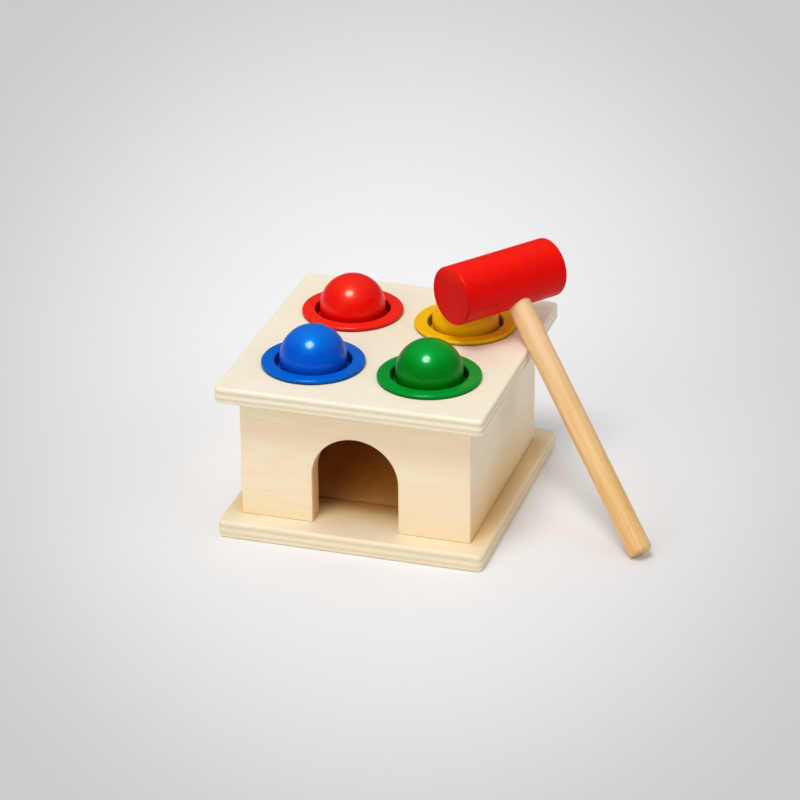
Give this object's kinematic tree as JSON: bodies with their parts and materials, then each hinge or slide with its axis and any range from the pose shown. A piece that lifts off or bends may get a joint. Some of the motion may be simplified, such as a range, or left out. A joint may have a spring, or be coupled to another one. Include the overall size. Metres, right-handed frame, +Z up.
{
  "type": "ball pounding box",
  "caption": "Wooden toy box with coloured balls held in rings on its top, an arched door below where knocked-through balls roll out, and a red-headed mallet leaning on it.",
  "frame": {"origin": "centre of the base panel's underside, on the surface that the box stands on", "axes": "+X to the right along the front, the arched door faces -Y, +Z up; the mallet leans on the +X side"},
  "size_m": [0.2813, 0.193, 0.1678],
  "materials": {
    "plywood": "birch plywood, sanded and clear lacquered, plies showing at the edges",
    "birch": "pale solid wood, sanded, clear satin lacquer",
    "beech": "beech rod, sanded, clear satin lacquer",
    "mallet_paint": "turned wood under glossy red paint",
    "screw_steel": "zinc plated",
    "paint_red": "turned wooden ball under glossy red paint",
    "ring_red": "moulded red ring, glossy",
    "soft_red": "soft red rubber, matt",
    "paint_yellow": "turned wooden ball under glossy yellow paint",
    "ring_yellow": "moulded yellow ring, glossy",
    "soft_yellow": "soft yellow rubber, matt",
    "paint_blue": "turned wooden ball under glossy blue paint",
    "ring_blue": "moulded blue ring, glossy",
    "soft_blue": "soft blue rubber, matt",
    "paint_green": "turned wooden ball under glossy green paint",
    "ring_green": "moulded green ring, glossy",
    "soft_green": "soft green rubber, matt"
  },
  "bodies": {
    "box": {"base_panel": "plywood", "top_panel": "plywood", "front_wall": "birch", "back_wall": "birch", "left_wall": "birch", "right_wall": "birch", "ball_ramp": "plywood", "ramp_rail_left": "birch", "ramp_rail_right": "birch", "ring_red": "ring_red", "ring_yellow": "ring_yellow", "ring_blue": "ring_blue", "ring_green": "ring_green", "grip_red": "soft_red", "grip_yellow": "soft_yellow", "grip_blue": "soft_blue", "grip_green": "soft_green", "top_dowels": "beech", "base_screws": "screw_steel", "corner_splines": "beech"},
    "ball_red": {"ball_red": "paint_red"},
    "ball_yellow": {"ball_yellow": "paint_yellow"},
    "ball_blue": {"ball_blue": "paint_blue"},
    "ball_green": {"ball_green": "paint_green"},
    "mallet": {"mallet_head": "mallet_paint", "mallet_handle": "beech"}
  },
  "joints": [
    {"name": "drop_red", "type": "slide", "parent": "box", "child": "ball_red", "axis": [0, 0, -1], "range_m": [0, 0.047], "deforming": ["grip_red"]},
    {"name": "drop_yellow", "type": "slide", "parent": "box", "child": "ball_yellow", "axis": [0, 0, -1], "range_m": [0, 0.047], "deforming": ["grip_yellow"]},
    {"name": "drop_blue", "type": "slide", "parent": "box", "child": "ball_blue", "axis": [0, 0, -1], "range_m": [0, 0.075], "deforming": ["grip_blue"]},
    {"name": "drop_green", "type": "slide", "parent": "box", "child": "ball_green", "axis": [0, 0, -1], "range_m": [0, 0.075], "deforming": ["grip_green"]},
    {"name": "mallet_lift", "type": "slide", "parent": "box", "child": "mallet", "axis": [0, 0, 1], "range_m": [0, 0.2]}
  ]
}
